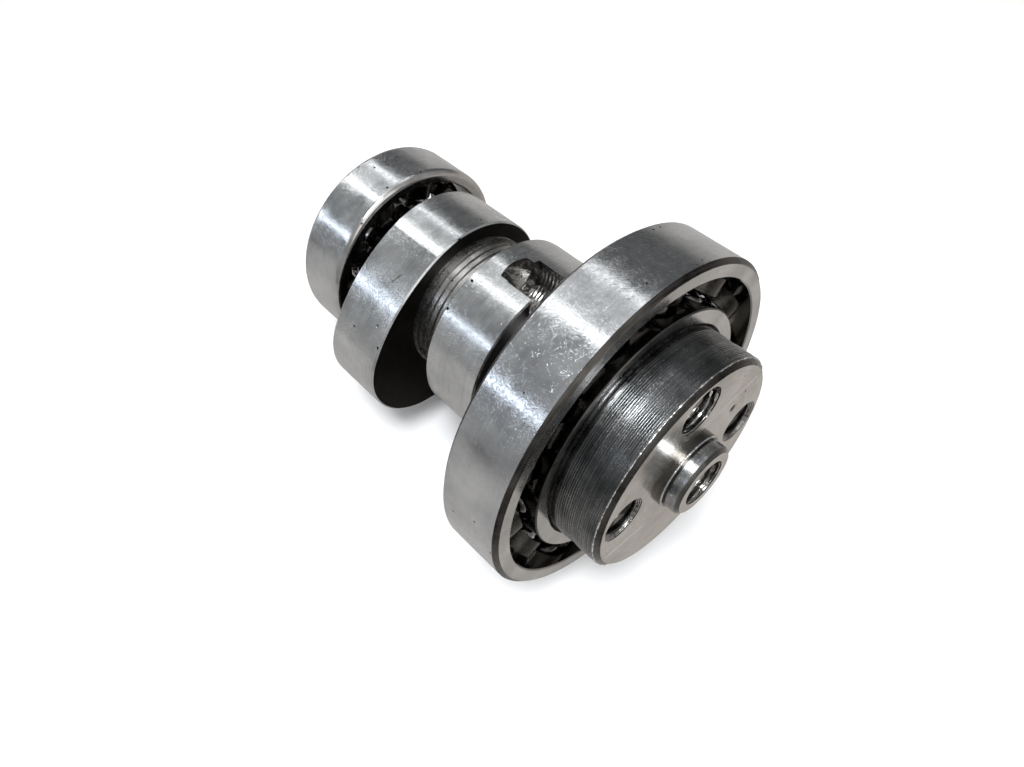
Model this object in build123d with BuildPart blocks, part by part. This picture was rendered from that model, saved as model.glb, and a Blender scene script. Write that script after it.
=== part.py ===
from build123d import *
import os
from math import atan2, cos, degrees, radians, sin, sqrt, tan

os.makedirs("parts", exist_ok=True)

# Camshaft for a small single-cylinder engine, with its two ball bearings pressed on.
# The shaft stands on its small bearing. Z runs along the shaft, up towards the sprocket
# flange. X runs through the two sprocket screw holes. All sizes are in millimetres.

# Large bearing, metric series 30 x 47 x 9
big_bore_r = 15.0
big_od_r = 23.5
big_width = 9.0
big_pitch_r = (big_bore_r + big_od_r) / 2
big_ball_r = 4.762 / 2
big_ball_count = 13
big_land_r_in = 17.3
big_land_r_out = 21.2
big_edge = 0.55
big_cage_turn = 53.2

# Small bearing, metric series 12 x 28 x 8
small_bore_r = 6.0
small_od_r = 14.0
small_width = 8.0
small_pitch_r = (small_bore_r + small_od_r) / 2
small_ball_r = 3.969 / 2
small_ball_count = 9
small_land_r_in = 8.05
small_land_r_out = 12.2
small_edge = 0.8
small_cage_turn = 115.7

# Fits shared by both bearings
ball_play = 0.05
groove_ratio = 1.05
ring_bore_edge = 0.4
shield_edge = 0.15
cage_ball_gap = 0.12

# Heights along the shaft, counted from the small bearing's outer face
end_recess = 0.4
small_shoulder_z = small_width
lobe_width_low = 8.9
lobe_width_high = 8.65
lobe_low_z = 10.5
waist_length = 5.7
lobe_high_z = lobe_low_z + lobe_width_low + waist_length
lobe_high_top = lobe_high_z + lobe_width_high
neck_length = 6.9
big_z = lobe_high_top + neck_length
big_top = big_z + big_width
flange_length = 6.95
flange_face_z = big_top + flange_length
boss_height = 2.85
tip_z = flange_face_z + boss_height

# Cam lobes
base_r_low = 12.2
base_r_high = 12.8
lobe_lift = 6.4
nose_r = 9.6
flank_r = 24.0
lobe_low_angle = -147.3
lobe_spread = 107.0
lobe_edge = 0.2

# Shaft
small_spacer_r = 7.6
waist_r = 10.1
waist_groove_depth = 0.3
waist_groove_count = 4
waist_groove_start = 0.3
waist_groove_pitch = 0.95
waist_groove_width = 0.14
waist_groove_slope = 0.09
neck_r = 9.5
big_shoulder_r = 16.3
big_shoulder_width = 1.25
flange_r = 14.9
flange_edge = 0.6
undercut_width = 0.45
undercut_r = 14.55
fillet_r = 0.6

# Boss on the flange
boss_root_r = 5.15
boss_root_height = 0.85
boss_groove_r = 4.55
boss_groove_width = 0.2
boss_r = 4.8
boss_edge = 0.45
centre_r = 3.15
centre_depth = 2.6
centre_pilot_r = 1.6
centre_pilot_depth = 7.5
centre_cone_angle = 60.0

# Holes in the flange
hole_circle_r = 10.8
screw_tap_r = 2.5
screw_mouth_r = 3.05
screw_mouth_depth = 0.55
screw_depth = 11.0
rod_r = 3.2
rod_angle = 94.9
rod_end_z = 29.4
rod_nose_r = 2.85
rod_nose_z = 28.2
rod_nose_shift = 0.3
rod_point_angle = 118.0
rod_point_flat_r = 0.2
dimple_r = 0.6
dimple_depth = 0.2
dimple_circle_r = 8.9
dimple_angle = 35.0

# Centre hole in the small end
lathe_centre_r = 2.6
lathe_pilot_r = 1.25
lathe_pilot_depth = 6.0

# Cages and rivets
big_cage_sheet = 0.6
big_cage_r_in = 18.15
big_cage_r_out = 20.45
big_rivet_r = 0.45
big_rivet_head_r = 0.8
small_cage_sheet = 0.45
small_cage_r_in = 9.05
small_cage_r_out = 11.05
small_rivet_r = 0.35
small_rivet_head_r = 0.6
rivet_head_height = 0.35


def lobe_outline(base_r):
    """Points of one cam profile with its nose on +X: base, flank and nose arcs."""
    nose_x = base_r + lobe_lift - nose_r
    a = flank_r - base_r
    b = flank_r - nose_r
    fx = (a * a - b * b + nose_x * nose_x) / (2 * nose_x)
    fy = -sqrt(a * a - fx * fx)
    base_end = (-fx * base_r / a, -fy * base_r / a)
    nose_end = (nose_x + (nose_x - fx) * nose_r / b, -fy * nose_r / b)
    start = atan2(base_end[1] - fy, base_end[0] - fx)
    stop = atan2(nose_end[1] - fy, nose_end[0] - fx)
    middle = (start + stop) / 2
    bulge = (fx + flank_r * cos(middle), fy + flank_r * sin(middle))
    return base_end, bulge, nose_end, (base_r + lobe_lift, 0)


def around(angle, height):
    """Plane across the shaft at a height, with its own X turned by an angle."""
    turn = radians(angle)
    return Plane(origin=(0, 0, height), x_dir=(cos(turn), sin(turn), 0), z_dir=(0, 0, 1))


# Shallow grooves left by the turning tool on the waist, counted from the lower lobe
waist_grooves = []
for i in range(waist_groove_count):
    groove_z = lobe_low_z + lobe_width_low + waist_groove_start + i * waist_groove_pitch
    waist_grooves.append((waist_r, groove_z))
    waist_grooves.append((waist_r - waist_groove_depth, groove_z + waist_groove_slope))
    waist_grooves.append((waist_r - waist_groove_depth,
                          groove_z + waist_groove_slope + waist_groove_width))
    waist_grooves.append((waist_r, groove_z + 2 * waist_groove_slope + waist_groove_width))

# The shaft with its lobes, flange and boss: one steel turning
turned = [
    (0, end_recess),
    (small_bore_r - 0.5, end_recess),
    (small_bore_r, end_recess + 0.5),
    (small_bore_r, small_shoulder_z),
    (small_spacer_r, small_shoulder_z),
    (small_spacer_r, lobe_low_z + 1),
    (waist_r, lobe_low_z + 1),
    *waist_grooves,
    (waist_r, lobe_high_top - 1),
    (neck_r, lobe_high_top - 1),
    (neck_r, big_z - big_shoulder_width - fillet_r),
    (neck_r + fillet_r, big_z - big_shoulder_width),
    (big_shoulder_r - 0.4, big_z - big_shoulder_width),
    (big_shoulder_r, big_z - big_shoulder_width + 0.4),
    (big_shoulder_r, big_z),
    (big_bore_r, big_z),
    (big_bore_r, big_top),
    (undercut_r, big_top + 0.1),
    (undercut_r, big_top + undercut_width),
    (flange_r, big_top + undercut_width + 0.15),
    (flange_r, flange_face_z - flange_edge),
    (flange_r - flange_edge, flange_face_z),
    (boss_root_r, flange_face_z),
    (boss_root_r, flange_face_z + boss_root_height - 0.15),
    (boss_root_r - 0.15, flange_face_z + boss_root_height),
    (boss_groove_r, flange_face_z + boss_root_height),
    (boss_groove_r, flange_face_z + boss_root_height + boss_groove_width),
    (boss_r, flange_face_z + boss_root_height + boss_groove_width + 0.1),
    (boss_r, tip_z - boss_edge),
    (boss_r - boss_edge, tip_z),
    (0, tip_z),
]

with BuildPart() as camshaft:
    with BuildSketch(Plane.XZ):
        with BuildLine():
            Polyline(*turned, close=True)
        make_face()
    revolve(axis=Axis.Z)
    lobes = [
        (lobe_low_z, lobe_width_low, base_r_low, lobe_low_angle),
        (lobe_high_z, lobe_width_high, base_r_high, lobe_low_angle + lobe_spread),
    ]
    for low, width, base_r, angle in lobes:
        base_end, bulge, nose_end, tip = lobe_outline(base_r)
        with BuildSketch(around(angle, low)):
            with BuildLine():
                ThreePointArc((base_end[0], -base_end[1]), (-base_r, 0), base_end)
                ThreePointArc(base_end, bulge, nose_end)
                ThreePointArc(nose_end, tip, (nose_end[0], -nose_end[1]))
                ThreePointArc((nose_end[0], -nose_end[1]), (bulge[0], -bulge[1]),
                              (base_end[0], -base_end[1]))
            make_face()
        extrude(amount=width)
    rims = camshaft.edges().filter_by(GeomType.CIRCLE).filter_by(
        lambda e: any(abs(e.radius - r) < 0.01 for r in (base_r_low, base_r_high, nose_r, flank_r)))
    chamfer(rims, lobe_edge)
    # sprocket screw holes, tapped, with a short countersink
    with Locations((0, 0, flange_face_z)):
        with PolarLocations(hole_circle_r, 2):
            CounterSinkHole(screw_tap_r, screw_mouth_r, screw_depth, 2 * degrees(atan2(
                screw_mouth_r - screw_tap_r, screw_mouth_depth)))
    # long hole for the valve-lifting rod: it runs down into the upper lobe and breaks out,
    # and ends in the narrower hole and point that the first drill left
    with Locations(around(rod_angle, flange_face_z)):
        with Locations((hole_circle_r, 0)):
            Hole(rod_r, flange_face_z - rod_end_z)
    with BuildSketch(around(rod_angle, rod_nose_z)):
        with Locations((hole_circle_r, rod_nose_shift)):
            Circle(rod_nose_r)
    extrude(amount=rod_end_z - rod_nose_z + 0.01, mode=Mode.SUBTRACT)
    point_height = (rod_nose_r - rod_point_flat_r) / tan(radians(rod_point_angle / 2))
    with Locations(around(rod_angle, rod_nose_z - point_height / 2)):
        with Locations((hole_circle_r, rod_nose_shift)):
            Cone(rod_point_flat_r, rod_nose_r, point_height, mode=Mode.SUBTRACT)
    # round hole in the boss, narrowing through a cone to a lathe centre
    with Locations((0, 0, tip_z)):
        CounterBoreHole(centre_pilot_r, centre_r, centre_depth, centre_pilot_depth)
    cone_height = (centre_r - centre_pilot_r) / tan(radians(centre_cone_angle / 2))
    with Locations((0, 0, tip_z - centre_depth - cone_height / 2)):
        Cone(centre_pilot_r, centre_r, cone_height, mode=Mode.SUBTRACT)
    # punched round dimple on the flange face
    punch_r = (dimple_r * dimple_r + dimple_depth * dimple_depth) / (2 * dimple_depth)
    with Locations(around(dimple_angle, flange_face_z + punch_r - dimple_depth)):
        with Locations((dimple_circle_r, 0)):
            Sphere(punch_r, mode=Mode.SUBTRACT)
    # lathe centre in the small end
    with Locations(Plane(origin=(0, 0, end_recess), z_dir=(0, 0, -1))):
        CounterSinkHole(lathe_pilot_r, lathe_centre_r, lathe_pilot_depth, centre_cone_angle)


def raceway(ring, pitch_r, ball_r, middle_z):
    """Cuts the ball track into a ring that is being built."""
    side = 1 if ring == "inner" else -1
    with BuildSketch(Plane.XZ) as track:
        with Locations((pitch_r + side * (ball_r * (groove_ratio - 1) - ball_play), middle_z)):
            Circle(ball_r * groove_ratio)
    revolve(track.sketch, axis=Axis.Z, mode=Mode.SUBTRACT)


def ring_profile(r_in, r_out, low, high, edge_in, edge_out):
    """Half section of a bearing ring with its corner breaks; a zero break gives one corner."""
    corners = [
        (r_in + edge_in, low),
        (r_out - edge_out, low),
        (r_out, low + edge_out),
        (r_out, high - edge_out),
        (r_out - edge_out, high),
        (r_in + edge_in, high),
        (r_in, high - edge_in),
        (r_in, low + edge_in),
    ]
    return list(dict.fromkeys(corners))


# Bearing rings
with BuildPart() as large_outer_ring:
    with BuildSketch(Plane.XZ):
        with BuildLine():
            Polyline(*ring_profile(big_land_r_out, big_od_r, big_z, big_top,
                                   shield_edge, big_edge), close=True)
        make_face()
    revolve(axis=Axis.Z)
    raceway("outer", big_pitch_r, big_ball_r, big_z + big_width / 2)

with BuildPart() as large_inner_ring:
    with BuildSketch(Plane.XZ):
        with BuildLine():
            Polyline(*ring_profile(big_bore_r, big_land_r_in, big_z, big_top,
                                   ring_bore_edge, shield_edge), close=True)
        make_face()
    revolve(axis=Axis.Z)
    raceway("inner", big_pitch_r, big_ball_r, big_z + big_width / 2)

with BuildPart() as small_outer_ring:
    with BuildSketch(Plane.XZ) as small_outer_section:
        with BuildLine():
            Polyline(*ring_profile(small_land_r_out, small_od_r, 0, small_width,
                                   shield_edge, 0), close=True)
        make_face()
        corners = small_outer_section.vertices().sort_by(Axis.X)[-2:]
        fillet(corners, small_edge)
    revolve(axis=Axis.Z)
    raceway("outer", small_pitch_r, small_ball_r, small_width / 2)

with BuildPart() as small_inner_ring:
    with BuildSketch(Plane.XZ):
        with BuildLine():
            Polyline(*ring_profile(small_bore_r, small_land_r_in, 0, small_width,
                                   ring_bore_edge, shield_edge), close=True)
        make_face()
    revolve(axis=Axis.Z)
    raceway("inner", small_pitch_r, small_ball_r, small_width / 2)


# Cages: two pressed sheet rings with a round pocket over each ball
def cage_half(side, middle_z, pitch_r, ball_r, count, turn, sheet, r_in, r_out, rivet_r):
    """One half of a riveted cage; side is +1 for the upper half and -1 for the lower."""
    pocket_r = ball_r + cage_ball_gap
    top = pocket_r + sheet
    strip = Plane(origin=(0, 0, middle_z), x_dir=(1, 0, 0), z_dir=(0, 0, side))
    across = (r_out - r_in) / 2 + 0.5
    with BuildSketch(strip) as band:
        Circle(r_out)
        Circle(r_in, mode=Mode.SUBTRACT)
    extrude(band.sketch, amount=sheet)
    for radius, reach, mode in ((top, across, Mode.ADD), (pocket_r, across + 1, Mode.SUBTRACT)):
        for i in range(count):
            angle = radians(turn + i * 360 / count)
            out = (cos(angle), sin(angle), 0)
            seat = Plane(origin=(pitch_r * out[0], pitch_r * out[1], middle_z),
                         x_dir=(0, 0, side), z_dir=out)
            with BuildSketch(seat) as pocket:
                Circle(radius)
            extrude(pocket.sketch, amount=reach, both=True, mode=mode)
    extrude(band.sketch, amount=top + 1, mode=Mode.INTERSECT)
    with BuildSketch(strip) as holes:
        with PolarLocations(pitch_r, count, start_angle=side * (turn + 180 / count)):
            Circle(rivet_r)
    extrude(holes.sketch, amount=sheet + 0.2, mode=Mode.SUBTRACT)


def rivets(middle_z, pitch_r, count, turn, sheet, rivet_r, head_r):
    """All rivets of one cage: a shank through both halves and a head on each side."""
    for low, high, radius in (
        (-sheet, sheet, rivet_r),
        (sheet, sheet + rivet_head_height, head_r),
        (-sheet - rivet_head_height, -sheet, head_r),
    ):
        with BuildSketch(Plane.XY.offset(middle_z + low)) as discs:
            with PolarLocations(pitch_r, count, start_angle=turn + 180 / count):
                Circle(radius)
        extrude(discs.sketch, amount=high - low)


big_middle = big_z + big_width / 2
small_middle = small_width / 2
big_cage = (big_middle, big_pitch_r, big_ball_r, big_ball_count, big_cage_turn,
            big_cage_sheet, big_cage_r_in, big_cage_r_out, big_rivet_r)
small_cage = (small_middle, small_pitch_r, small_ball_r, small_ball_count, small_cage_turn,
              small_cage_sheet, small_cage_r_in, small_cage_r_out, small_rivet_r)

with BuildPart() as large_cage_upper:
    cage_half(1, *big_cage)

with BuildPart() as large_cage_lower:
    cage_half(-1, *big_cage)

with BuildPart() as large_cage_rivets:
    rivets(big_middle, big_pitch_r, big_ball_count, big_cage_turn,
           big_cage_sheet, big_rivet_r, big_rivet_head_r)

with BuildPart() as small_cage_upper:
    cage_half(1, *small_cage)

with BuildPart() as small_cage_lower:
    cage_half(-1, *small_cage)

with BuildPart() as small_cage_rivets:
    rivets(small_middle, small_pitch_r, small_ball_count, small_cage_turn,
           small_cage_sheet, small_rivet_r, small_rivet_head_r)

# Hand over
solids = {
    "camshaft": camshaft,
    "large_bearing_outer_ring": large_outer_ring,
    "large_bearing_inner_ring": large_inner_ring,
    "large_bearing_cage_upper": large_cage_upper,
    "large_bearing_cage_lower": large_cage_lower,
    "large_bearing_cage_rivets": large_cage_rivets,
    "small_bearing_outer_ring": small_outer_ring,
    "small_bearing_inner_ring": small_inner_ring,
    "small_bearing_cage_upper": small_cage_upper,
    "small_bearing_cage_lower": small_cage_lower,
    "small_bearing_cage_rivets": small_cage_rivets,
}
for label, built in solids.items():
    built.part.label = label
    export_step(built.part, "parts/" + label + ".step")

ball_sets = (
    ("large_bearing_ball_", big_ball_count, big_pitch_r, big_ball_r, big_cage_turn, big_middle),
    ("small_bearing_ball_", small_ball_count, small_pitch_r, small_ball_r, small_cage_turn, small_middle),
)
for stem, count, pitch_r, ball_r, turn, height in ball_sets:
    for i in range(count):
        angle = radians(turn + i * 360 / count)
        with BuildPart() as ball:
            with Locations((pitch_r * cos(angle), pitch_r * sin(angle), height)):
                Sphere(ball_r)
        ball.part.label = stem + str(i + 1).zfill(2)
        export_step(ball.part, "parts/" + ball.part.label + ".step")
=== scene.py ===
"""Looks for a small engine camshaft: steel finishes, cut threads, tool marks, lamps and camera.

The CAD solids keep their places. Sizes are in millimetres, and mesh_object turns them to metres.
The ground, the lamps and the camera are placed in metres.
"""

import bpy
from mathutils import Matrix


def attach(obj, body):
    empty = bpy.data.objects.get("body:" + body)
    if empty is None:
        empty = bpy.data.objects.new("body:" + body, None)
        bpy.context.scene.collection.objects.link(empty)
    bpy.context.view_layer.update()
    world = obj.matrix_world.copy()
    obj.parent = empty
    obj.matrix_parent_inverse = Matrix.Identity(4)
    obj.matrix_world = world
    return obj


bl_info = {
    "name": "Camshaft Look",
    "version": (1, 0, 0),
    "blender": (4, 5, 0),
    "location": "View3D > Sidebar > Camshaft",
    "description": "Steel finishes, threads, tool marks, lamps and camera for an engine camshaft",
    "category": "Object",
}

from math import atan2, cos, hypot, pi, radians, sin, tau

import bpy
from bpy.props import FloatProperty, FloatVectorProperty, IntProperty, PointerProperty
from mathutils import Matrix, Vector

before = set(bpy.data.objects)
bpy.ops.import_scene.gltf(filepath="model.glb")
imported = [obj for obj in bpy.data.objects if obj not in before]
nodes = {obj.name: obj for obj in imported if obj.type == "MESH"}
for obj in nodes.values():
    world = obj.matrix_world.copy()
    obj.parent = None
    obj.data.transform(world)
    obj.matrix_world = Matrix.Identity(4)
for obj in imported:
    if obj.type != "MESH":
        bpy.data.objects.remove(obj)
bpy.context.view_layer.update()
MM = 0.001

# Heights and radii of the shaft where its finishes change
LOBE_ENDS = (10.5, 19.4, 25.1, 33.75)
LOBE_BASE_R = 12.2
BIG_Z, BIG_TOP = 40.65, 49.65
FLANGE_LOW, FLANGE_HIGH, FLANGE_FACE = 50.25, 56.0, 56.6
FLANGE_R = 14.9
BOSS_R, BOSS_STEP, BOSS_TOP = 5.15, 57.45, 59.45

# Outside radii of the two bearings, and the corner break of the large one
BIG_OD_R, SMALL_OD_R = 23.5, 14.0
BIG_CHAMFER = 0.55

# Holes: the rod hole and both screw holes lie on one circle, the boss hole on the axis
HOLE_CIRCLE_R = 10.8
ROD_ANGLE = radians(94.9)
ROD_HOLE = (HOLE_CIRCLE_R * cos(ROD_ANGLE), HOLE_CIRCLE_R * sin(ROD_ANGLE))
ROD_HOLE_R, ROD_TIP, ROD_NOSE_TOP = 3.2, 26.0, 29.5
SCREW_HOLES = ((HOLE_CIRCLE_R, 0.0), (-HOLE_CIRCLE_R, 0.0))
SCREW_MINOR_R, SCREW_RIM_R = 2.5, 3.1
SCREW_MOUTH, SCREW_FLOOR = 56.05, FLANGE_FACE - 11.5
BOSS_HOLE = (0.0, 0.0)
BOSS_HOLE_R, BOSS_HOLE_LOW = 3.15, 50.0


# Small helpers


def linear(text):
    """Linear RGBA of an sRGB hex colour such as C8C7C4."""
    made = []
    for i in (0, 2, 4):
        c = int(text[i:i + 2], 16) / 255
        made.append(c / 12.92 if c <= 0.04045 else ((c + 0.055) / 1.055) ** 2.4)
    return (*made, 1.0)


WHITE = linear("FFFFFF")


def add(tree, kind, inputs=None, **settings):
    """Adds a node, sets its properties, and sets or links its inputs by name or number."""
    node = tree.nodes.new(kind)
    for key, value in settings.items():
        setattr(node, key, value)
    for key, value in (inputs or {}).items():
        if isinstance(value, bpy.types.NodeSocket):
            tree.links.new(value, node.inputs[key])
        else:
            node.inputs[key].default_value = value
    return node


def mesh_object(name, points, faces, materials):
    """A new smooth mesh object from points in millimetres."""
    mesh = bpy.data.meshes.new(name)
    mesh.from_pydata([Vector(p) * MM for p in points], [], faces)
    for polygon in mesh.polygons:
        polygon.use_smooth = True
    for material in materials:
        mesh.materials.append(material)
    made = bpy.data.objects.new(name, mesh)
    bpy.context.scene.collection.objects.link(made)
    return made


def shaft_piece(name, points, faces, finish):
    """A new piece of the camshaft's own steel, which moves with it."""
    made = mesh_object(name, points, faces, [finish_of(finish)])
    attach(made, "shaft")
    return made


# Steels

# Each finish has these, with lengths in millimetres:
# colours are its darkest and lightest, and rough is its smoothest and roughest
# lay is how the tool marks run: around the axis, in rings on an end face, or none
# marks are their spacing and depth, and streak is how much they change the colour
# swirl is the size and depth of the fine waviness left by lapping, handling and a thin oil film
# curls are the size and depth of short curled scratches
# pits are the spacing and largest radius of small dark pits
# straight scratches and glints: each with its two ends, half width and colour; a white one is a
# painted highlight, the glint of a lamp along a scratch
# Real grinding lines lie a few hundredths of a millimetre apart, and real pits are as small.
# Both are drawn as coarse as they need to be to show in the render.
FINISHES = {
    # Hardened bearing steel, ground on its outside. It mirrors the lamps as narrow bright
    # lines, which handling and a thin oil film break into short curls.
    "ground_bearing_steel": dict(
        colours=("ABAEB1", "CBCED0"), rough=(0.13, 0.24), lay="around", marks=(0.30, 0.00025),
        streak=0.25, swirl=(0.62, 0.0085), curls=(0.80, 0.0040), pits=(1.3, 0.24)),
    # The same steel on the end faces of a ring: ground flat in one pass, so it mirrors more.
    "ground_ring_face_steel": dict(
        colours=("A9A8A6", "CFCECC"), rough=(0.14, 0.24), lay="rings", marks=(0.22, 0.0004),
        streak=0.3, swirl=(0.9, 0.0014), curls=(1.2, 0.001), pits=(2.2, 0.22)),
    # Corner breaks of the large ring, hardened and left as turned: dark and mottled.
    "hardened_chamfer_steel": dict(
        colours=("141312", "5C5956"), rough=(0.26, 0.42), lay="around", marks=(0.30, 0.0016),
        streak=0.9, swirl=(0.6, 0.012), curls=(0.8, 0.004), pits=(1.3, 0.20)),
    # Bearing tracks and lands: honed, and darker than the ring faces.
    "honed_track_steel": dict(
        colours=("6E6D6B", "9C9B99"), rough=(0.08, 0.16), lay="around", marks=(0.25, 0.0002),
        streak=0.3, swirl=(1.2, 0.0010), curls=(1.5, 0.0005), pits=(4.0, 0.12)),
    # Case-hardened cam steel, ground on the lobes: the wheel leaves fine bands round the lobe.
    "ground_cam_steel": dict(
        colours=("ADB0B2", "D2D5D6"), rough=(0.16, 0.28), lay="around", marks=(0.28, 0.0016),
        streak=0.35, swirl=(0.55, 0.0060), curls=(0.75, 0.0032), pits=(1.2, 0.23),
        scratches_and_glints=(((-10.71, 7.15, 16.11), (-9.66, 8.09, 16.65), 0.085, "1A1917"),)),
    # Sides of the lobes as hardened: a thin dark oxide that grinding never reached.
    "black_oxide_cam_flank": dict(
        colours=("100E0D", "262320"), rough=(0.34, 0.50), lay="rings", marks=(0.35, 0.002),
        streak=0.5, swirl=(0.8, 0.005), curls=(1.2, 0.002), pits=(1.5, 0.18)),
    # Turned steel between the lobes and beside the bearings: coarse rings and an oil film.
    "turned_waist_steel": dict(
        colours=("8E8D8B", "C0BFBD"), rough=(0.22, 0.36), lay="around", marks=(0.26, 0.0070),
        streak=0.6, swirl=(0.5, 0.010), curls=(0.8, 0.004), pits=(1.4, 0.18)),
    # Outside of the sprocket flange: turned, hardened and left dark grey.
    "turned_flange_steel": dict(
        colours=("3C3E3F", "888A8B"), rough=(0.15, 0.28), lay="around", marks=(0.20, 0.0006),
        streak=0.7, swirl=(0.60, 0.0150), curls=(0.80, 0.006), pits=(1.5, 0.18)),
    # Front edge of the flange, dented and rubbed bright in places.
    "rubbed_flange_edge_steel": dict(
        colours=("161514", "5C5A57"), rough=(0.20, 0.36), lay="around", marks=(0.45, 0.004),
        streak=0.9, swirl=(0.6, 0.014), curls=(0.7, 0.006), pits=(1.2, 0.18)),
    # The sharp corner behind that edge, bruised into a broken bright line.
    "bruised_corner_steel": dict(
        colours=("C9C8C6", "EDEDEC"), rough=(0.10, 0.20), lay="none", marks=(0.45, 0.004),
        streak=0.4, swirl=(0.4, 0.008), curls=(0.6, 0.002), pits=(3.0, 0.10)),
    # Sprocket face: ground, then wiped, with a warm oil film and a few scratches; white lines painted
    # along them are painted highlights, the lamps' glints.
    "ground_face_steel": dict(
        colours=("A8A39D", "D6D2CC"), rough=(0.15, 0.26), lay="rings", marks=(0.30, 0.0004),
        streak=0.4, swirl=(0.9, 0.0014), curls=(1.3, 0.002), pits=(1.8, 0.24),
        # Three white lines painted on the face: painted highlights along scratches, where the lamps
        # would glint
        scratches_and_glints=(((10.78, 8.30, 56.6), (5.41, 7.20, 56.6), 0.10, "FFFFFF"),
                   ((5.41, 7.20, 56.6), (0.73, 6.22, 56.6), 0.06, "FFFFFF"),
                   ((-5.70, -6.50, 56.6), (-12.38, -6.24, 56.6), 0.12, "FFFFFF"))),
    # Centring boss: finish-turned and bright.
    "bright_turned_boss_steel": dict(
        colours=("74777A", "B9BCBE"), rough=(0.17, 0.28), lay="around", marks=(0.24, 0.0010),
        streak=0.5, swirl=(0.80, 0.0040), curls=(1.0, 0.001), pits=(2.0, 0.16)),
    # Root, groove and front edge of the boss, and the tapped holes: cut and oily, and painted dark as
    # painted shade in these recesses and on the boss's front edge.
    "cut_steel_painted_shade": dict(
        colours=("2A2927", "6C6A67"), rough=(0.14, 0.26), lay="around", marks=(0.28, 0.008),
        streak=0.9, swirl=(0.5, 0.010), curls=(0.8, 0.003), pits=(1.6, 0.16)),
    # The drilled rod hole and boss hole: wavy rings inside, wet with oil.
    "drilled_bore_steel": dict(
        colours=("6E6D6B", "C4C2BF"), rough=(0.09, 0.19), lay="around", marks=(0.40, 0.008),
        streak=0.9, swirl=(0.7, 0.026), curls=(0.8, 0.008), pits=(1.6, 0.16)),
    # Cages pressed from sheet steel: satin, and painted dark brown as the shade inside the bearing.
    "pressed_cage_painted_shade_steel": dict(
        colours=("242220", "4E4C48"), rough=(0.16, 0.30), lay="none", marks=(0.50, 0.0010),
        streak=0.5, swirl=(0.5, 0.006), curls=(0.9, 0.002), pits=(1.6, 0.14)),
    # Rivets headed from wire: a little brighter where the die squeezed them.
    "headed_rivet_steel": dict(
        colours=("6E6B67", "A4A19D"), rough=(0.18, 0.30), lay="none", marks=(0.50, 0.0010),
        streak=0.5, swirl=(0.4, 0.004), curls=(0.7, 0.001), pits=(1.4, 0.10)),
    # Lapped balls: a mirror under a thin oil film.
    "lapped_ball_steel": dict(
        colours=("C4C5C6", "DADADA"), rough=(0.05, 0.10), lay="none", marks=(0.60, 0.0001),
        streak=0.3, swirl=(1.2, 0.0006), curls=(1.5, 0.0002), pits=(5.0, 0.08)),
}

# Shared by all finishes: how far the tool marks are drawn out along the cut, and the blotches' size
LAY_STRETCH = (0.03, 0.03, 1.0)
BLOTCH_SIZE = 5.0
# Half width of a curled scratch in the noise it follows, and the range of swirl it breaks off in
CURL_HALF, CURL_BREAKS = 0.035, (0.46, 0.54)
# Chance above which a cell has a pit, and the pit's depth and colour
PIT_CHANCE, PIT_DEPTH, PIT_COLOUR = 0.70, 0.01, "2B2723"
# Middle and half range of the noise that goes from the first colour to the second, without the
# tool marks and for each unit of streak
TONE_MIDDLE, TONE_SPREAD = (0.5, 0.5), (0.16, 0.12)
# Range of the noise that goes from the smoothest to the roughest
ROUGH_RANGE = (0.75, 1.25)
# Share of a straight line's half width that it covers in full, for scratches and painted highlight
# lines alike
SCRATCH_AND_GLINT_CORE = 0.4
# Sockets of a Mix node that is set to colours
MIX_SHARE, MIX_A, MIX_B, MIX_RESULT = 0, 6, 7, 2


def tool_marks(tree, mm, lay, pitch):
    """Noise drawn out along the way that the tool ran, with its marks one pitch apart."""
    run = mm
    if lay != "none":
        xyz = add(tree, "ShaderNodeSeparateXYZ", {0: mm}).outputs
        flat = add(tree, "ShaderNodeCombineXYZ", {"X": xyz["X"], "Y": xyz["Y"]}).outputs[0]
        radius = add(tree, "ShaderNodeVectorMath", {0: flat}, operation="LENGTH").outputs["Value"]
        over = xyz["Z"] if lay == "around" else radius
        run = add(tree, "ShaderNodeCombineXYZ", {"X": xyz["X"], "Y": xyz["Y"], "Z": over}).outputs[0]
        run = add(tree, "ShaderNodeVectorMath", {0: run, 1: LAY_STRETCH},
                  operation="MULTIPLY").outputs[0]
    return add(tree, "ShaderNodeTexNoise", {
        "Vector": run, "Scale": 1 / pitch, "Detail": 3.0, "Roughness": 0.65}).outputs["Fac"]


def curled_scratches(tree, mm, size, swirl):
    """Share that short curled scratches cover: they follow the middle level of a bent noise."""
    web = add(tree, "ShaderNodeTexNoise", {
        "Vector": mm, "Scale": 1 / size, "Detail": 1.0, "Roughness": 0.5,
        "Distortion": 2.2}).outputs["Fac"]
    off = add(tree, "ShaderNodeMath", {0: web, 1: 0.5}, operation="SUBTRACT").outputs[0]
    off = add(tree, "ShaderNodeMath", {0: off}, operation="ABSOLUTE").outputs[0]
    line = add(tree, "ShaderNodeMapRange", {
        "Value": off, "From Min": 0.0, "From Max": CURL_HALF,
        "To Min": 1.0, "To Max": 0.0}).outputs[0]
    kept = add(tree, "ShaderNodeMapRange", {
        "Value": swirl, "From Min": CURL_BREAKS[0], "From Max": CURL_BREAKS[1]}).outputs[0]
    return add(tree, "ShaderNodeMath", {0: line, 1: kept}, operation="MULTIPLY").outputs[0]


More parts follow.
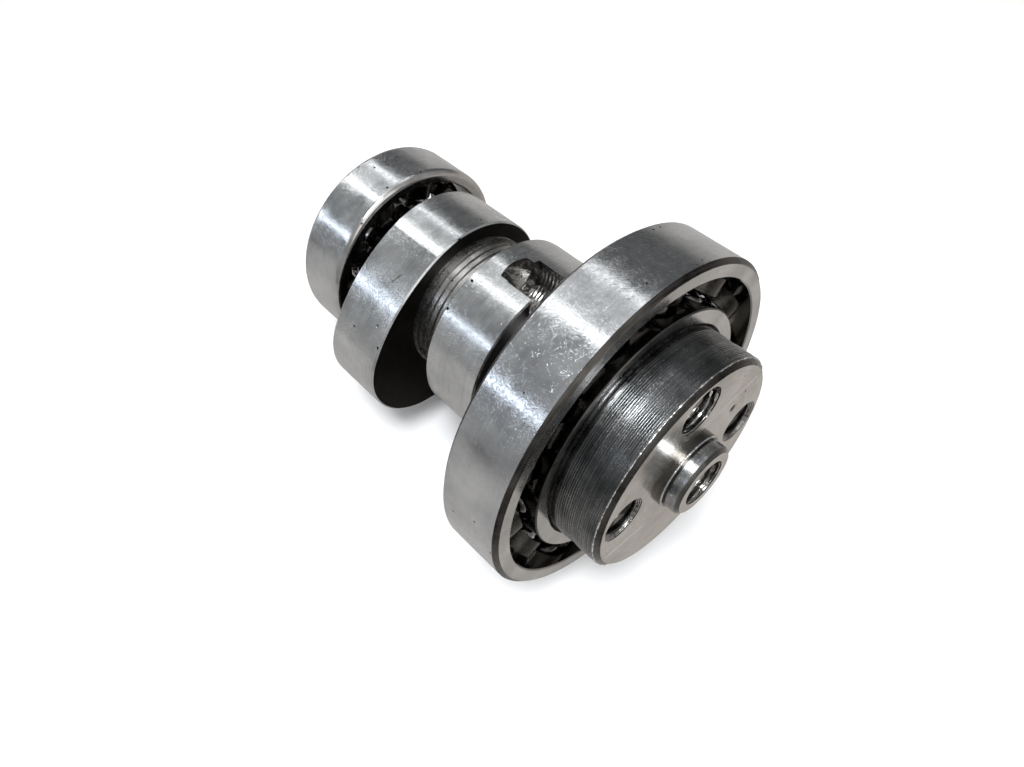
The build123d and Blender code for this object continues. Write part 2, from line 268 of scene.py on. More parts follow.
def pitting(tree, mm, gap, largest_r):
    """Small round pits, 1 inside and 0 outside: some cells have one, of a radius up to largest_r."""
    cells = add(tree, "ShaderNodeTexVoronoi", {"Vector": mm, "Scale": 1 / gap, "Randomness": 1.0})
    chance = add(tree, "ShaderNodeSeparateColor", {0: cells.outputs["Color"]}).outputs[0]
    reach = add(tree, "ShaderNodeMapRange", {
        "Value": chance, "From Min": PIT_CHANCE, "From Max": 1.0,
        "To Min": 0.0, "To Max": largest_r / gap}).outputs[0]
    return add(tree, "ShaderNodeMath", {0: reach, 1: cells.outputs["Distance"]},
               operation="GREATER_THAN").outputs[0]


def scratch_and_glint_line(tree, mm, start, end, half_width):
    """Share that one straight line covers, scratch and painted highlight line alike: 1 on its middle
    line and 0 at its edge.
    """
    start, run = Vector(start), Vector(end) - Vector(start)
    off = add(tree, "ShaderNodeVectorMath", {0: mm, 1: start}, operation="SUBTRACT").outputs[0]
    along = add(tree, "ShaderNodeVectorMath", {0: off, 1: run / run.length_squared},
                operation="DOT_PRODUCT").outputs["Value"]
    along = add(tree, "ShaderNodeClamp", {"Value": along}).outputs[0]
    near = add(tree, "ShaderNodeVectorMath", {0: tuple(run), "Scale": along},
               operation="SCALE").outputs[0]
    away = add(tree, "ShaderNodeVectorMath", {0: off, 1: near},
               operation="DISTANCE").outputs["Value"]
    return add(tree, "ShaderNodeMapRange", {
        "Value": away, "From Min": half_width * SCRATCH_AND_GLINT_CORE, "From Max": half_width,
        "To Min": 1.0, "To Max": 0.0}).outputs[0]


def steel(name):
    """One steel finish from FINISHES as a node material, in the part's own coordinates."""
    finish = FINISHES[name]
    material = bpy.data.materials.new(name)
    material.use_nodes = True
    tree = material.node_tree
    tree.nodes.clear()
    place = add(tree, "ShaderNodeTexCoord").outputs["Object"]
    mm = add(tree, "ShaderNodeVectorMath", {0: place, "Scale": 1 / MM}, operation="SCALE").outputs[0]

    # Patterns
    pitch, mark_depth = finish["marks"]
    swirl_size, swirl_depth = finish["swirl"]
    curl_size, curl_depth = finish["curls"]
    marks = tool_marks(tree, mm, finish["lay"], pitch)
    swirl = add(tree, "ShaderNodeTexNoise", {
        "Vector": mm, "Scale": 1 / swirl_size, "Detail": 2.0, "Roughness": 0.45,
        "Distortion": 1.6}).outputs["Fac"]
    blotch = add(tree, "ShaderNodeTexNoise", {
        "Vector": mm, "Scale": 1 / BLOTCH_SIZE, "Detail": 3.0, "Roughness": 0.6}).outputs["Fac"]
    curl = curled_scratches(tree, mm, curl_size, swirl)
    pit = pitting(tree, mm, *finish["pits"])

    # Colour: between the two colours by blotch and tool mark, then pits, scratches and painted
    # highlight lines over it
    streak = finish["streak"]
    tone = add(tree, "ShaderNodeMath", {0: marks, 1: streak, 2: blotch},
               operation="MULTIPLY_ADD").outputs[0]
    middle = TONE_MIDDLE[0] + TONE_MIDDLE[1] * streak
    spread = TONE_SPREAD[0] + TONE_SPREAD[1] * streak
    tone = add(tree, "ShaderNodeMapRange", {
        "Value": tone, "From Min": middle - spread, "From Max": middle + spread}).outputs[0]
    dark, light = finish["colours"]
    colour = add(tree, "ShaderNodeMix", {
        MIX_SHARE: tone, MIX_A: linear(dark), MIX_B: linear(light)},
        data_type="RGBA").outputs[MIX_RESULT]
    covers = [(pit, PIT_COLOUR)]
    for start, end, half_width, shade in finish.get("scratches_and_glints", ()):
        covers.append((scratch_and_glint_line(tree, mm, start, end, half_width), shade))
    for cover, shade in covers:
        colour = add(tree, "ShaderNodeMix", {
            MIX_SHARE: cover, MIX_A: colour, MIX_B: linear(shade)},
            data_type="RGBA").outputs[MIX_RESULT]

    # Roughness and height
    smooth, coarse = finish["rough"]
    rough = add(tree, "ShaderNodeMath", {0: swirl, 1: blotch}, operation="ADD").outputs[0]
    rough = add(tree, "ShaderNodeMapRange", {
        "Value": rough, "From Min": ROUGH_RANGE[0], "From Max": ROUGH_RANGE[1],
        "To Min": smooth, "To Max": coarse}).outputs[0]
    height = add(tree, "ShaderNodeMath", {0: marks, 1: mark_depth}, operation="MULTIPLY").outputs[0]
    for pattern, depth in ((swirl, swirl_depth), (curl, curl_depth), (pit, -PIT_DEPTH)):
        height = add(tree, "ShaderNodeMath", {0: pattern, 1: depth, 2: height},
                     operation="MULTIPLY_ADD").outputs[0]
    bump = add(tree, "ShaderNodeBump", {"Strength": 1.0, "Distance": MM, "Height": height}).outputs[0]
    shader = add(tree, "ShaderNodeBsdfPrincipled", {
        "Base Color": colour, "Metallic": 1.0, "Roughness": rough, "Normal": bump})
    add(tree, "ShaderNodeOutputMaterial", {"Surface": shader.outputs[0]})
    return material


steels = {}


def finish_of(name):
    """The named steel, made once."""
    if name not in steels:
        steels[name] = steel(name)
    return steels[name]


# Which faces get which steel

# A face this near to a height counts as at it, and a normal with this share along the axis as
# one of a level or a tilted face
TOUCH, NEAR = 0.01, 0.05
LEVEL, TILTED = 0.9, 0.3
# Shaft: slack round the rod hole's wall, how far a wall faces the hole's middle, and how far the
# hole's nose faces up
ROD_SLACK, ROD_FACING, ROD_NOSE_UP = 0.04, -0.3, 0.2
# Lobes: how far inside the base circle a face still counts as ground, slack in height at their
# sides, and least radius of those
LOBE_SKIN, LOBE_SIDE_SLACK, LOBE_SIDE_R = 0.4, 0.06, 9.0
# How far inside the lobes' base circle the waist's end faces lie, and the flange's least radius
WAIST_GAP, FLANGE_INNER_R = 1.0, 14.0
# Boss: height of the groove above its step, and the reach of the step's and the front edges
BOSS_GROOVE = 0.25
STEP_EDGE_IN, STEP_EDGE_DOWN, FRONT_EDGE_DOWN = 0.16, 0.14, 0.46
# Bearing rings: normals of end faces, and how far the outside and the corner breaks reach in
RING_END, RING_HALF_WAY = 0.95, 0.5
RING_SKIN, RING_CORNER = 0.2, 1.2


def paint(node, choose):
    """Gives a CAD node its finishes: choose names the one for a face, from centre and normal."""
    mesh = nodes[node].data
    mesh.materials.clear()
    slots = {}
    for polygon in mesh.polygons:
        centre = polygon.center / MM
        name = choose(centre, polygon.normal)
        if name not in slots:
            slots[name] = len(slots)
            mesh.materials.append(finish_of(name))
        polygon.material_index = slots[name]


def in_rod_hole(c, n):
    """Whether a face lies on the rod hole's wall or in its nose."""
    off_x, off_y = c.x - ROD_HOLE[0], c.y - ROD_HOLE[1]
    if hypot(off_x, off_y) > ROD_HOLE_R + ROD_SLACK or not ROD_TIP < c.z < FLANGE_FACE - TOUCH:
        return False
    on_wall = off_x * n.x + off_y * n.y < ROD_FACING
    in_nose = c.z < ROD_NOSE_TOP and n.z > ROD_NOSE_UP
    return on_wall or in_nose


def boss_finish(c, n, r):
    """Finish of a face above the flange, r from the axis."""
    if c.z > BOSS_TOP - TOUCH:
        return "ground_face_steel"
    tilted = n.z > TILTED
    on_step_edge = tilted and r > BOSS_R - STEP_EDGE_IN and c.z > BOSS_STEP - STEP_EDGE_DOWN
    on_front_edge = tilted and c.z > BOSS_TOP - FRONT_EDGE_DOWN
    # The boss's root, groove and front edge take the dark steel with painted shade
    if c.z < BOSS_STEP + BOSS_GROOVE and not on_step_edge or on_front_edge:
        return "cut_steel_painted_shade"
    return "bright_turned_boss_steel"


def shaft_finish(c, n):
    """Finish of a face of the camshaft."""
    r = hypot(c.x, c.y)
    level = abs(n.z) > LEVEL
    if abs(c.z - FLANGE_FACE) < TOUCH and n.z > LEVEL and r > BOSS_R - 2 * NEAR:
        return "ground_face_steel"
    # The tapped holes take the dark steel with painted shade
    if c.z > SCREW_FLOOR and any(hypot(c.x - x, c.y - y) < SCREW_RIM_R for x, y in SCREW_HOLES):
        return "cut_steel_painted_shade"
    if in_rod_hole(c, n) or r < BOSS_HOLE_R + NEAR and c.z > BOSS_HOLE_LOW:
        return "drilled_bore_steel"
    if c.z > FLANGE_FACE:
        return boss_finish(c, n, r)
    lower_low, lower_high, upper_low, upper_high = LOBE_ENDS
    if upper_low + NEAR < c.z < upper_high - NEAR and r < LOBE_BASE_R - LOBE_SKIN:
        return "drilled_bore_steel"
    if level and r > LOBE_SIDE_R and any(abs(c.z - z) < LOBE_SIDE_SLACK for z in LOBE_ENDS):
        return "black_oxide_cam_flank"
    for low, high in ((lower_low, lower_high), (upper_low, upper_high)):
        if low - NEAR < c.z < high + NEAR and r > LOBE_BASE_R - LOBE_SKIN:
            return "ground_cam_steel"
    if c.z > BIG_TOP and r > FLANGE_INNER_R:
        if c.z > FLANGE_HIGH - NEAR:
            return "rubbed_flange_edge_steel"
        return "hardened_chamfer_steel" if abs(n.z) > TILTED else "turned_flange_steel"
    in_waist = lower_high < c.z < upper_low and r < LOBE_BASE_R - WAIST_GAP
    return "hardened_chamfer_steel" if level and not in_waist else "turned_waist_steel"


def outer_ring_finish(od_r, edge_finish):
    """Finish chooser for a bearing's outer ring."""
    def choose(c, n):
        r, lean = hypot(c.x, c.y), abs(n.z)
        if lean > RING_END:
            return "ground_ring_face_steel"
        if r > od_r - RING_SKIN and lean < TILTED:
            return "ground_bearing_steel"
        if r > od_r - RING_CORNER and lean > TILTED:
            return edge_finish
        return "honed_track_steel"
    return choose


def inner_ring_finish(c, n):
    """Finish of a bearing's inner ring."""
    if TILTED < abs(n.z) < RING_END:
        return "hardened_chamfer_steel"
    return "ground_ring_face_steel" if abs(n.z) > RING_HALF_WAY else "honed_track_steel"


# Meshes made here

# Screw thread: pitch, turns over which it fades in and out, height left at its lower end, half
# widths at root and tip, how far its root is sunk in the wall, and its start above the mouth
THREAD_PITCH, THREAD_FADE, THREAD_END = 1.0, 0.6, 0.05
THREAD_ROOT, THREAD_TIP, THREAD_SUNK = 0.44, 0.07, 0.02
THREAD_START = 0.25

# Turned rings on the flange. Section of one: share of the pitch, share of the height
RING_PROFILE = ((0.04, 0.0), (0.16, 0.65), (0.30, 0.93), (0.46, 1.0), (0.62, 0.9), (0.76, 0.6),
                (0.88, 0.0))
# Their mean height, its swing from ring to ring and the angle between rings, in radians
RING_MEAN, RING_SWING, RING_BEAT = 0.8, 0.2, 2.3
# The first and last of the rings that are worn down, and the height left of them
WORN_FROM, WORN_TO, WORN_SHARE = 6, 9, 0.45
# How far they stand off the flange, how far their ends are sunk, and where shading breaks
RING_LIFT, RING_SUNK = 0.005, 0.05
RING_SHARP = radians(50)

# Drill marks: how far they stand off the wall, and how far their ends are sunk in it
MARK_LIFT, MARK_SUNK = 0.02, 0.01
# Bend of the rings: size, bends in one turn, and turn for each millimetre
RING_BEND, RING_BENDS, RING_DRIFT = 1.1, 2, 0.9
# Two waves that cross make the dents: waves in one turn, turn for each millimetre, and then the
# first one's bend and bends in one turn, or the second one's start
DENT_WAVES, DENT_DRIFT, DENT_BEND, DENT_BENDS = 7, 4.3, 0.8, 3
CROSS_WAVES, CROSS_DRIFT, CROSS_START = -4, 3.7, 1.0
# Pitch of the rings and their share of the depth, in a round hole and where it breaks out
HOLE_MARKS, SLOT_MARKS = (0.80, 0.35), (0.55, 0.75)
# Each stretch of marks: hole, lower and upper end, wall radius, reach to each side, pitch and share
DRILL_MARKS = {
    "rod_hole_drill_marks": (
        ROD_HOLE, FLANGE_FACE - 6.5, FLANGE_FACE - 0.15, ROD_HOLE_R, pi, HOLE_MARKS),
    "rod_slot_drill_marks": (
        ROD_HOLE, ROD_NOSE_TOP - NEAR, LOBE_ENDS[3] - NEAR, ROD_HOLE_R, radians(112), SLOT_MARKS),
    "rod_groove_drill_marks": (
        ROD_HOLE, LOBE_ENDS[3] + NEAR, BIG_Z - NEAR, ROD_HOLE_R, radians(54), SLOT_MARKS),
    "boss_hole_drill_marks": (
        BOSS_HOLE, BOSS_TOP - 2.55, BOSS_TOP - 0.15, BOSS_HOLE_R, pi, HOLE_MARKS),
}

# Bruised corners: waves along the bead as share, count in one turn and start, and how its
# thickness follows their sum
BEAD_WAVES = ((1.0, 23, 1.3), (1.0, 57, 0.4), (0.8, 113, 0.0), (0.6, 191, 2.0))
BEAD_LEAST, BEAD_MIDDLE, BEAD_SWING = 0.25, 0.35, 0.45
# Thickness beside the flange's bead, and steps round each bead
BOSS_BEAD, CHATTER_BEAD = 0.7, 0.6
FLANGE_STEPS, BOSS_STEPS, SCREW_STEPS = 720, 360, 240
# How far the boss's bead lies in from its corner, and heights of the chatter in a screw mouth
BOSS_BREAK = 0.08
CHATTER_HEIGHTS = (0.10, 0.25, 0.40)


def thread_mesh(x, y, top, turns, minor_r, depth, steps=32):
    """Points and faces of one cut thread standing in from a tapped hole's wall."""
    points, faces = [], []
    count = int(turns * steps)
    for i in range(count + 1):
        angle = -tau * i / steps
        z = top - THREAD_PITCH * i / steps
        grow = min(1.0, i / steps / THREAD_FADE, (count - i) / steps / THREAD_FADE + THREAD_END)
        wall_r = minor_r + max(0.0, z - SCREW_MOUTH)
        root_r, tip_r = wall_r + THREAD_SUNK, wall_r - depth * grow
        half = THREAD_ROOT * grow + THREAD_SUNK
        for r, dz in ((root_r, half), (tip_r, THREAD_TIP), (tip_r, -THREAD_TIP), (root_r, -half)):
            points.append((x + r * cos(angle), y + r * sin(angle), z + dz))
    for i in range(count):
        a, b = 4 * i, 4 * i + 4
        for k in range(3):
            faces.append((a + k, a + k + 1, b + k + 1, b + k))
    faces.append((3, 2, 1, 0))
    last = 4 * count
    faces.append((last, last + 1, last + 2, last + 3))
    return points, faces


def ridge_mesh(low, high, root_r, rings, segments=224):
    """Points and faces of a thin sleeve with turned rings; rings lists (height, radius)."""
    profile = [(low, root_r - RING_SUNK)] + rings + [(high, root_r - RING_SUNK)]
    points, faces = [], []
    for i in range(segments):
        angle = tau * i / segments
        for z, r in profile:
            points.append((r * cos(angle), r * sin(angle), z))
    n = len(profile)
    for i in range(segments):
        j = (i + 1) % segments
        for k in range(n - 1):
            faces.append((i * n + k, j * n + k, j * n + k + 1, i * n + k + 1))
    return points, faces


def bore_mesh(x, y, low, high, wall_r, middle, reach, pitch, depth, ringed, segments=96, step=0.06):
    """Points and faces of the wavy drill marks that stand in from a hole's wall.

    They cover the wall for reach to each side of the angle middle: pi is the whole way round.
    The share ringed of their depth is in rings, and the rest is in dents."""
    rows = round((high - low) / step)
    whole = reach == pi
    around = segments if whole else segments + 1
    points, faces = [], []
    for k in range(rows + 1):
        z = low + (high - low) * k / rows
        for i in range(around):
            angle = middle - reach + 2 * reach * i / segments
            bend = RING_BEND * sin(RING_BENDS * angle + RING_DRIFT * z)
            ring = sin(tau * z / pitch + angle + bend)
            wave = sin(DENT_WAVES * angle + DENT_DRIFT * z + DENT_BEND * sin(DENT_BENDS * angle))
            dent = wave * sin(CROSS_WAVES * angle + CROSS_DRIFT * z + CROSS_START)
            high_in = ringed * max(0.0, ring) + (1 - ringed) * max(0.0, dent)
            r = wall_r - MARK_LIFT - depth * high_in
            if k in (0, rows) or not whole and i in (0, segments):
                r = wall_r + MARK_SUNK
            points.append((x + r * cos(angle), y + r * sin(angle), z))
    for k in range(rows):
        for i in range(segments):
            j = (i + 1) % around
            a, b = k * around, (k + 1) * around
            faces.append((a + i, b + i, b + j, a + j))
    return points, faces


def bead_mesh(x, y, z, r, thick, segments, sides=8):
    """Points and faces of a thin broken bead round a corner, thick in places and lost in others."""
    points, faces = [], []
    for i in range(segments):
        angle = tau * i / segments
        rough = sum(share * sin(count * angle + start) for share, count, start in BEAD_WAVES)
        full = max(0.0, min(1.0, BEAD_MIDDLE + BEAD_SWING * rough))
        half = thick * (BEAD_LEAST + (1 - BEAD_LEAST) * full)
        for k in range(sides):
            turn = tau * k / sides
            out = r + half * cos(turn)
            points.append((x + out * cos(angle), y + out * sin(angle), z + half * sin(turn)))
    for i in range(segments):
        j = (i + 1) % segments
        for k in range(sides):
            m = (k + 1) % sides
            faces.append((i * sides + k, j * sides + k, j * sides + m, i * sides + m))
    return points, faces


# Stage

# Tall soft lamps: azimuth, elevation, width and height in metres, radiance, tint
LAMPS = (
    ("key_strip", 101.5, -33.0, 0.034, 0.70, 5.0, "FFFFFF"),
    ("side_strip", 70.0, -33.0, 0.045, 0.70, 2.2, "FFFFFF"),
    ("fill_panel", 86.0, -33.0, 0.22, 0.60, 0.34, "FFFFFF"),
    ("cool_strip", 155.0, -33.0, 0.026, 0.60, 5.5, "E6F0FF"),
    ("front_panel", 112.0, 56.0, 0.45, 0.45, 1.0, "FFFDFA"),
    ("ring_panel", 114.0, 14.0, 0.15, 0.20, 26.0, "FAFCFF"),
)
LAMP_TARGET, LAMP_DISTANCE = (0, 0, 0.030), 0.5

# The ground faces this azimuth and, near enough, this elevation: it is laid against both
# bearings, as under the photographed part. It lies a hair off them and reaches this far out.
GROUND_AZIMUTH, GROUND_LIFT = 106.4, 12.9
GROUND_GAP, GROUND_REACH = 0.00005, 1.5
# The part's shadow on it shows whole up to the first distance, and has faded to white by the
# second. The paper that it falls on has this colour.
SHADOW_CENTRE, SHADOW_WHOLE, SHADOW_GONE = (0.0, 0.0, 0.03), 0.05, 0.13
SHADED_PAPER = "FAFAFA"

# The room is dimmer towards this azimuth and elevation: cosines at which that starts and is
# full, and the share of light left there
DARK_AZIMUTH, DARK_ELEVATION = 22, -28
DARK_FROM, DARK_FULL, DARK_LEFT = 0.55, 0.90, 0.42

# Directions in the scene that run right and up in the picture
CAMERA_RIGHT = (0.7229, 0.0660, 0.6878)
CAMERA_UP = (0.4745, 0.6762, -0.5636)
SENSOR_WIDTH = 36.0
CLIP_START, CLIP_END = 0.002, 20.0


def direction(azimuth, elevation):
    """Unit vector from degrees."""
    a, e = radians(azimuth), radians(elevation)
    return Vector((cos(e) * cos(a), cos(e) * sin(a), sin(e)))


def paper_material(colour):
    """Matt white paper: no gloss, so it takes the part's shadow softly and mirrors nothing.

    The camera sees it white, with the shadow near the part. Its light on the part is of the
    given colour, and from behind it is see-through."""
    material = bpy.data.materials.new("matt_white_paper")
    material.use_nodes = True
    tree = material.node_tree
    tree.nodes.clear()
    is_camera = add(tree, "ShaderNodeLightPath").outputs["Is Camera Ray"]
    where = add(tree, "ShaderNodeNewGeometry").outputs
    paper = add(tree, "ShaderNodeBsdfDiffuse", {"Color": colour}).outputs[0]
    shaded = add(tree, "ShaderNodeBsdfDiffuse", {"Color": linear(SHADED_PAPER)}).outputs[0]
    white = add(tree, "ShaderNodeEmission", {"Color": WHITE, "Strength": 1.0}).outputs[0]
    away = add(tree, "ShaderNodeVectorMath", {0: where["Position"], 1: SHADOW_CENTRE},
               operation="DISTANCE").outputs["Value"]
    shadow = add(tree, "ShaderNodeMapRange", {
        "Value": away, "From Min": SHADOW_WHOLE, "From Max": SHADOW_GONE,
        "To Min": 1.0, "To Max": 0.0}).outputs[0]
    seen = add(tree, "ShaderNodeMixShader", {0: shadow, 1: white, 2: shaded}).outputs[0]
    front = add(tree, "ShaderNodeMixShader", {0: is_camera, 1: paper, 2: seen}).outputs[0]
    clear = add(tree, "ShaderNodeBsdfTransparent").outputs[0]
    shown = add(tree, "ShaderNodeMixShader", {0: where["Backfacing"], 1: front, 2: clear}).outputs[0]
    add(tree, "ShaderNodeOutputMaterial", {"Surface": shown})
    return material


def set_ground(look):
    """A wide pale plane, white to the camera in the open and see-through from behind."""
    up = direction(GROUND_AZIMUTH, GROUND_LIFT)
    flat = Vector((up.x, up.y, 0)).normalized()
    foot_small = -flat * SMALL_OD_R * MM
    foot_large = -flat * BIG_OD_R * MM + Vector((0, 0, BIG_Z * MM + BIG_CHAMFER * MM))
    along = (foot_large - foot_small).normalized()
    side = along.cross(flat).normalized()
    normal = side.cross(along).normalized()
    if normal.dot(up) < 0:
        normal = -normal
    middle = (foot_small + foot_large) / 2 - normal * GROUND_GAP
    corners = [middle + side * sx * GROUND_REACH + along * sy * GROUND_REACH
               for sx, sy in ((-1, -1), (1, -1), (1, 1), (-1, 1))]
    mesh = bpy.data.meshes.new("ground")
    mesh.from_pydata(corners, [], [(0, 1, 2, 3)])
    if mesh.polygons[0].normal.dot(normal) < 0:
        mesh.flip_normals()
    mesh.materials.append(paper_material(tuple(look.ground_colour)))
    ground = bpy.data.objects.new("ground", mesh)
    bpy.context.scene.collection.objects.link(ground)


def set_lamps(look):
    """Tall soft lamps that stand where the photograph's streaks come from."""
    for name, azimuth, elevation, width, height, radiance, tint in LAMPS:
        lamp = bpy.data.lights.new(name, "AREA")
        lamp.shape = "RECTANGLE"
        lamp.size, lamp.size_y = width, height
        lamp.energy = radiance * pi * width * height * look.lamp_level
        lamp.color = linear(tint)[:3]
        away = direction(azimuth, elevation)
        holder = bpy.data.objects.new(name, lamp)
        holder.location = Vector(LAMP_TARGET) + away * LAMP_DISTANCE
        x = Vector((0, 0, 1)).cross(direction(azimuth, 0)).normalized()
        y = away.cross(x).normalized()
        holder.rotation_euler = Matrix((x, y, away)).transposed().to_euler()
        bpy.context.scene.collection.objects.link(holder)


def set_room(look):
    """Plain room light, dimmer on the side away from the lamps, and white to the camera."""
    world = bpy.data.worlds.new("room")
    bpy.context.scene.world = world
    world.use_nodes = True
    tree = world.node_tree
    tree.nodes.clear()
    way = add(tree, "ShaderNodeTexCoord").outputs["Generated"]
    dark_way = tuple(direction(DARK_AZIMUTH, DARK_ELEVATION))
    dark = add(tree, "ShaderNodeVectorMath", {0: way, 1: dark_way},
               operation="DOT_PRODUCT").outputs["Value"]
    dark = add(tree, "ShaderNodeMapRange", {
        "Value": dark, "From Min": DARK_FROM, "From Max": DARK_FULL,
        "To Min": 1.0, "To Max": DARK_LEFT}).outputs[0]
    level = add(tree, "ShaderNodeMath", {0: dark, 1: look.room_level},
                operation="MULTIPLY").outputs[0]
    room = add(tree, "ShaderNodeBackground", {"Color": WHITE, "Strength": level}).outputs[0]
    white = add(tree, "ShaderNodeBackground", {"Color": WHITE, "Strength": 1.0}).outputs[0]
    is_camera = add(tree, "ShaderNodeLightPath").outputs["Is Camera Ray"]
    shown = add(tree, "ShaderNodeMixShader", {0: is_camera, 1: room, 2: white}).outputs[0]
    add(tree, "ShaderNodeOutputWorld", {"Surface": shown})


def set_camera(look):
    """The photograph's viewing angle: above the flange end, rolled so that the shaft lies across."""
    lens = bpy.data.cameras.new("camera")
    lens.lens = look.lens
    lens.sensor_width = SENSOR_WIDTH
    lens.clip_start, lens.clip_end = CLIP_START, CLIP_END
    camera = bpy.data.objects.new("camera", lens)
    right = Vector(CAMERA_RIGHT).normalized()
    back = right.cross(Vector(CAMERA_UP)).normalized()
    up = back.cross(right).normalized()
    turn = Matrix((right, up, back)).transposed().to_4x4()
    camera.matrix_world = Matrix.Translation(Vector(look.camera_place)) @ turn
    bpy.context.scene.collection.objects.link(camera)
    bpy.context.scene.camera = camera


# Settings that a user would change


class CamshaftLook(bpy.types.PropertyGroup):
    """Sizes and light of the look."""

    thread_depth: FloatProperty(
        name="Thread depth", description="Height of the cut thread in millimetres",
        default=0.32, min=0.05, max=0.45)
    thread_turns: FloatProperty(
        name="Thread turns", description="Turns of thread in each tapped hole",
        default=9.5, min=1, max=10)
    ring_count: IntProperty(
        name="Flange rings", description="Turned rings round the sprocket flange",
        default=21, min=1, max=40)
    ring_height: FloatProperty(
        name="Ring height", description="Height of the turned rings in millimetres",
        default=0.13, min=0.0, max=0.2)
    drill_mark_depth: FloatProperty(
        name="Drill mark depth",
        description="Height of the drill's rings in the holes in millimetres",
        default=0.14, min=0.0, max=0.3)
    corner_bead: FloatProperty(
        name="Corner bead",
        description="Half thickness of the flange's bruised corner in millimetres",
        default=0.12, min=0.02, max=0.2)
    lens: FloatProperty(
        name="Lens", description="Focal length of the camera", default=28.01, min=10, unit="CAMERA")
    camera_place: FloatVectorProperty(
        name="Camera place", description="Where the camera stands", size=3,
        default=(-0.05627, 0.07316, 0.07964), subtype="TRANSLATION", unit="LENGTH")
    lamp_level: FloatProperty(
        name="Lamp level", description="Share of the lamps' full strength",
        default=1.0, min=0.0, max=4.0, subtype="FACTOR")
    room_level: FloatProperty(
        name="Room level", description="Brightness of the room around the part",
        default=0.39, min=0.0, max=2.0)
    ground_colour: FloatVectorProperty(
        name="Ground colour",
        description="Colour of the light that the pale ground throws on the part",
        size=4, min=0, max=1, default=linear("AAA6A2"), subtype="COLOR")


# Operators


class CAMSHAFT_OT_shaft(bpy.types.Operator):
    """Gives the camshaft its ground, turned, drilled and oxide finishes"""

    bl_idname = "camshaft.shaft"
    bl_label = "Shaft finishes"

    def execute(self, context):
        paint("camshaft", shaft_finish)
        return {"FINISHED"}


class CAMSHAFT_OT_rings(bpy.types.Operator):
    """Gives the rings of both bearings their ground and honed finishes"""

    bl_idname = "camshaft.rings"
    bl_label = "Bearing rings"

    def execute(self, context):
        paint("large_bearing_outer_ring", outer_ring_finish(BIG_OD_R, "hardened_chamfer_steel"))
        paint("small_bearing_outer_ring", outer_ring_finish(SMALL_OD_R, "ground_ring_face_steel"))
        paint("large_bearing_inner_ring", inner_ring_finish)
        paint("small_bearing_inner_ring", inner_ring_finish)
        return {"FINISHED"}


class CAMSHAFT_OT_cages(bpy.types.Operator):
    """Gives balls, cages and rivets their finishes"""

    bl_idname = "camshaft.cages"
    bl_label = "Balls and cages"

    def execute(self, context):
        for name in nodes:
            if "_ball_" in name:
                paint(name, lambda c, n: "lapped_ball_steel")
            elif name.endswith("_rivets"):
                paint(name, lambda c, n: "headed_rivet_steel")
            elif "_cage_" in name:
                # The cages take the dark steel with painted shade
                paint(name, lambda c, n: "pressed_cage_painted_shade_steel")
        return {"FINISHED"}


class CAMSHAFT_OT_threads(bpy.types.Operator):
    """Cuts a thread into each sprocket screw hole"""

    bl_idname = "camshaft.threads"
    bl_label = "Screw threads"

    def execute(self, context):
        look = context.scene.camshaft_look
        for i, (x, y) in enumerate(SCREW_HOLES):
            points, faces = thread_mesh(
                x, y, SCREW_MOUTH + THREAD_START, look.thread_turns, SCREW_MINOR_R, look.thread_depth)
            # The thread takes the tapped hole's dark steel with painted shade
            shaft_piece("sprocket_screw_thread_%d" % (i + 1), points, faces, "cut_steel_painted_shade")
        return {"FINISHED"}


class CAMSHAFT_OT_flange_rings(bpy.types.Operator):
    """Turns the fine rings round the sprocket flange"""

    bl_idname = "camshaft.flange_rings"
    bl_label = "Flange rings"

    def execute(self, context):
        look = context.scene.camshaft_look
        pitch = (FLANGE_HIGH - FLANGE_LOW) / look.ring_count
        rings = []
        for i in range(look.ring_count):
            z = FLANGE_LOW + i * pitch
            high = look.ring_height * (RING_MEAN + RING_SWING * sin(i * RING_BEAT))
            if WORN_FROM <= i <= WORN_TO:
                high *= WORN_SHARE
            for share, lift in RING_PROFILE:
                rings.append((z + share * pitch, FLANGE_R + RING_LIFT + lift * high))
        points, faces = ridge_mesh(FLANGE_LOW + TOUCH, FLANGE_HIGH, FLANGE_R, rings)
        made = shaft_piece("flange_turned_rings", points, faces, "turned_flange_steel")
        made.data.set_sharp_from_angle(angle=RING_SHARP)
        return {"FINISHED"}


class CAMSHAFT_OT_drill_marks(bpy.types.Operator):
    """Leaves the drill's wavy rings in the rod hole and in the boss"""

    bl_idname = "camshaft.drill_marks"
    bl_label = "Drill marks"

    def execute(self, context):
        depth = context.scene.camshaft_look.drill_mark_depth
        inward = atan2(-ROD_HOLE[1], -ROD_HOLE[0])
        for name, ((x, y), low, high, wall_r, reach, (pitch, ringed)) in DRILL_MARKS.items():
            points, faces = bore_mesh(x, y, low, high, wall_r, inward, reach, pitch, depth, ringed)
            shaft_piece(name, points, faces, "drilled_bore_steel")
        return {"FINISHED"}


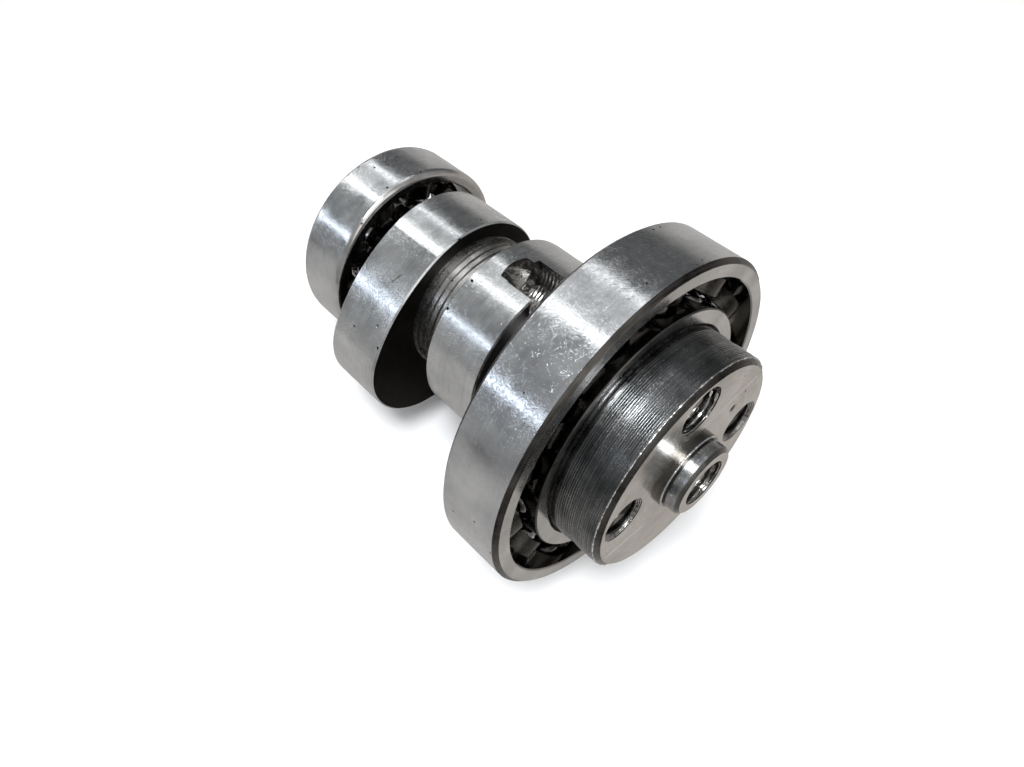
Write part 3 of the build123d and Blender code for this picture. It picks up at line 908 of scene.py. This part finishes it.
class CAMSHAFT_OT_bruised_corners(bpy.types.Operator):
    """Leaves broken bright lines on the corners of the flange and boss and in the screw holes"""

    bl_idname = "camshaft.bruised_corners"
    bl_label = "Bruised corners"

    def execute(self, context):
        thick = context.scene.camshaft_look.corner_bead
        beads = [("flange_bruised_corner", 0.0, 0.0, FLANGE_HIGH, FLANGE_R, thick, FLANGE_STEPS),
                 ("boss_bruised_corner", 0.0, 0.0, BOSS_STEP - BOSS_BREAK, BOSS_R - BOSS_BREAK,
                  thick * BOSS_BEAD, BOSS_STEPS)]
        for i, (x, y) in enumerate(SCREW_HOLES):
            for k, up in enumerate(CHATTER_HEIGHTS):
                beads.append(("sprocket_screw_%d_chatter_%d" % (i + 1, k + 1), x, y, SCREW_MOUTH + up,
                              SCREW_MINOR_R + up, thick * CHATTER_BEAD, SCREW_STEPS))
        for name, x, y, z, r, half, segments in beads:
            points, faces = bead_mesh(x, y, z, r, half, segments)
            shaft_piece(name, points, faces, "bruised_corner_steel")
        return {"FINISHED"}


class CAMSHAFT_OT_stage(bpy.types.Operator):
    """Sets the pale ground, soft lamps, room light and camera"""

    bl_idname = "camshaft.stage"
    bl_label = "Stage"

    def execute(self, context):
        look = context.scene.camshaft_look
        context.scene.view_settings.view_transform = "Standard"
        set_ground(look)
        set_lamps(look)
        set_room(look)
        set_camera(look)
        return {"FINISHED"}


# Panel and registration

STEPS = (CAMSHAFT_OT_shaft, CAMSHAFT_OT_rings, CAMSHAFT_OT_cages, CAMSHAFT_OT_threads,
         CAMSHAFT_OT_flange_rings, CAMSHAFT_OT_drill_marks, CAMSHAFT_OT_bruised_corners,
         CAMSHAFT_OT_stage)


class CAMSHAFT_PT_look(bpy.types.Panel):
    """Lists the look's settings and steps"""

    bl_label = "Camshaft"
    bl_idname = "CAMSHAFT_PT_look"
    bl_space_type = "VIEW_3D"
    bl_region_type = "UI"
    bl_category = "Camshaft"

    def draw(self, context):
        look = context.scene.camshaft_look
        for name in look.bl_rna.properties.keys():
            if name not in ("rna_type", "name"):
                self.layout.prop(look, name)
        for step in STEPS:
            self.layout.operator(step.bl_idname)


CLASSES = (CamshaftLook, *STEPS, CAMSHAFT_PT_look)


def register():
    for cls in CLASSES:
        bpy.utils.register_class(cls)
    bpy.types.Scene.camshaft_look = PointerProperty(type=CamshaftLook)


def unregister():
    del bpy.types.Scene.camshaft_look
    for cls in reversed(CLASSES):
        bpy.utils.unregister_class(cls)


def main():
    register()
    for step in STEPS:
        group, name = step.bl_idname.split(".")
        getattr(getattr(bpy.ops, group), name)()


if __name__ == "__main__":
    main()
